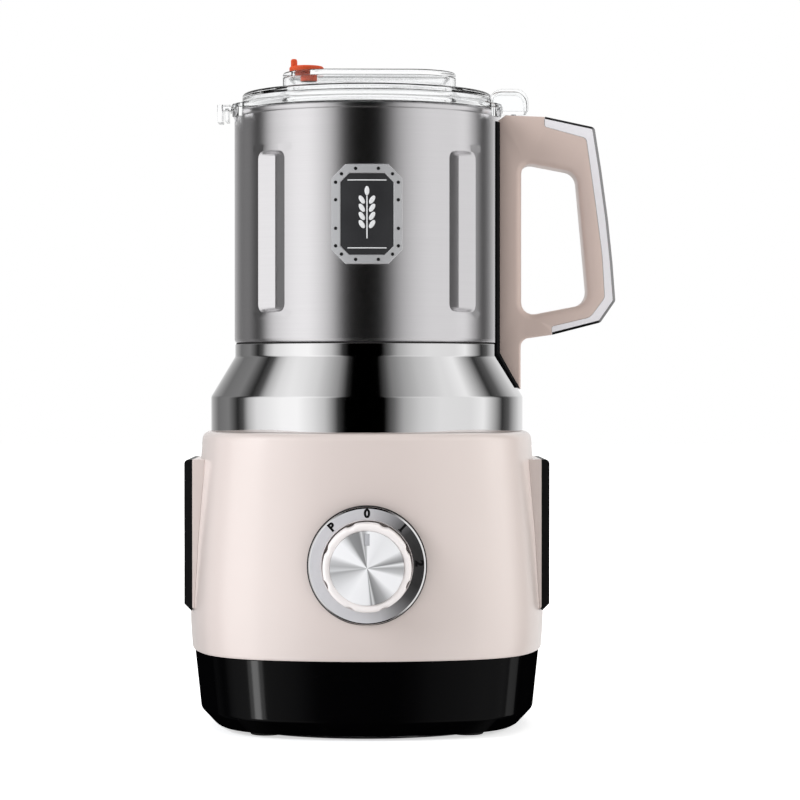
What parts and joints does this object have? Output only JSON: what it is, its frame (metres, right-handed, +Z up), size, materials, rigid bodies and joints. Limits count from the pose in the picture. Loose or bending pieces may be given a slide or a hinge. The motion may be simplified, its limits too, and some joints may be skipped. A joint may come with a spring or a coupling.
{
  "type": "electric grain mill",
  "caption": "Upright electric grain mill: rounded base with a front dial, lift-off steel grinding cup with a side handle, and a clear twist lid with a vent plug.",
  "frame": {"origin": "centre of the base on the surface that the feet stand on, on the drive axis", "axes": "+Z up along the drive axis, -Y towards the dial, +X towards the cup's handle"},
  "size_m": [0.219, 0.2003, 0.3384],
  "materials": {
    "cream_plastic": "satin",
    "black_gloss": "gloss",
    "black_plastic": "matt",
    "black_rubber": "matt",
    "screw_steel": "plated",
    "bezel_steel": "polished",
    "spun_aluminium": "spun",
    "shaft_steel": "ground",
    "lamination": "bare",
    "copper_wire": "enamelled",
    "cast_aluminium": "cast",
    "carbon": "matt",
    "board_green": "coated",
    "board_black": "matt",
    "brushed_steel": "brushed",
    "chrome": "polished",
    "plaque_metal": "satin and black",
    "taupe_plastic": "satin",
    "blade_steel": "polished",
    "clear_plastic": "clear",
    "clear_silicone": "translucent",
    "orange_silicone": "satin"
  },
  "bodies": {
    "base": {"base_housing": "cream_plastic", "base_skirt": "black_gloss", "bottom_plate": "black_plastic", "rubber_feet": "black_rubber", "base_screws": "screw_steel", "cord_gland": "black_rubber", "side_frame_right": "cream_plastic", "side_frame_left": "cream_plastic", "side_grille_right": "black_gloss", "side_grille_left": "black_gloss", "dial_bezel": "bezel_steel", "rotary_switch": "black_plastic", "switch_nut": "screw_steel", "stator_core": "lamination", "field_coils": "copper_wire", "lower_bracket": "cast_aluminium", "upper_bracket": "cast_aluminium", "motor_bearings": "shaft_steel", "brush_holders": "black_plastic", "carbon_brushes": "carbon", "motor_screws": "screw_steel", "motor_mounts": "black_rubber", "control_board": "board_green", "board_parts": "board_black", "safety_switch": "black_plastic", "cup_seat": "black_plastic", "seat_gasket": "black_rubber"},
    "dial": {"switch_shaft": "shaft_steel", "dial_knob": "cream_plastic", "dial_cap": "spun_aluminium"},
    "rotor": {"rotor_core": "lamination", "armature_windings": "copper_wire", "commutator": "copper_wire", "motor_shaft": "shaft_steel", "cooling_fan": "black_plastic", "drive_coupling": "cast_aluminium"},
    "plunger": {"safety_plunger": "black_plastic"},
    "cup": {"cup_body": "brushed_steel", "cup_collar": "chrome", "seam_ring": "black_rubber", "cup_holder": "black_plastic", "bearing_housing": "cast_aluminium", "blade_bearings": "shaft_steel", "shaft_seal": "black_rubber", "plaque": "plaque_metal", "handle_body": "taupe_plastic", "handle_trim": "chrome", "handle_bracket": "black_plastic", "handle_screws": "screw_steel"},
    "blades": {"blade_shaft": "shaft_steel", "driven_coupling": "cast_aluminium", "lower_blade": "blade_steel", "upper_blade": "blade_steel", "blade_spacers": "blade_steel", "blade_washer": "blade_steel", "blade_nut": "blade_steel"},
    "rod": {"interlock_rod": "shaft_steel"},
    "seal": {"lid_seal": "clear_silicone"},
    "lid": {"lid": "clear_plastic"},
    "plug": {"vent_plug": "orange_silicone"}
  },
  "joints": [
    {"name": "dial_turn", "type": "hinge", "parent": "base", "child": "dial", "pos_m": [0, 0, 0.0863], "axis": [0, 1, 0], "range_deg": [-45, 90]},
    {"name": "motor_spin", "type": "hinge", "parent": "base", "child": "rotor", "pos_m": [0, 0, 0.08], "axis": [0, 0, 1], "continuous": true},
    {"name": "cup_lift", "type": "slide", "parent": "base", "child": "cup", "axis": [0, 0, 1], "range_m": [0, 0.07]},
    {"name": "blade_spin", "type": "hinge", "parent": "cup", "child": "blades", "pos_m": [0, 0, 0.2], "axis": [0, 0, 1], "continuous": true},
    {"name": "lid_lift", "type": "slide", "parent": "cup", "child": "seal", "axis": [0, 0, 1], "range_m": [0, 0.05]},
    {"name": "lid_turn", "type": "hinge", "parent": "seal", "child": "lid", "pos_m": [0, 0, 0.315], "axis": [0, 0, -1], "range_deg": [0, 20]},
    {"name": "plug_pull", "type": "slide", "parent": "lid", "child": "plug", "axis": [0, 0, 1], "range_m": [0, 0.012]},
    {"name": "rod_rise", "type": "slide", "parent": "cup", "child": "rod", "axis": [0, 0, 1], "range_m": [0, 0.0036]},
    {"name": "plunger_rise", "type": "slide", "parent": "base", "child": "plunger", "axis": [0, 0, 1], "range_m": [0, 0.0036]}
  ],
  "couplings": [
    {"joint": "blade_spin", "follows": "motor_spin", "ratio": 1},
    {"joint": "rod_rise", "follows": "lid_turn", "m_per_rad": 0.01},
    {"joint": "plunger_rise", "follows": "lid_turn", "m_per_rad": 0.01}
  ]
}
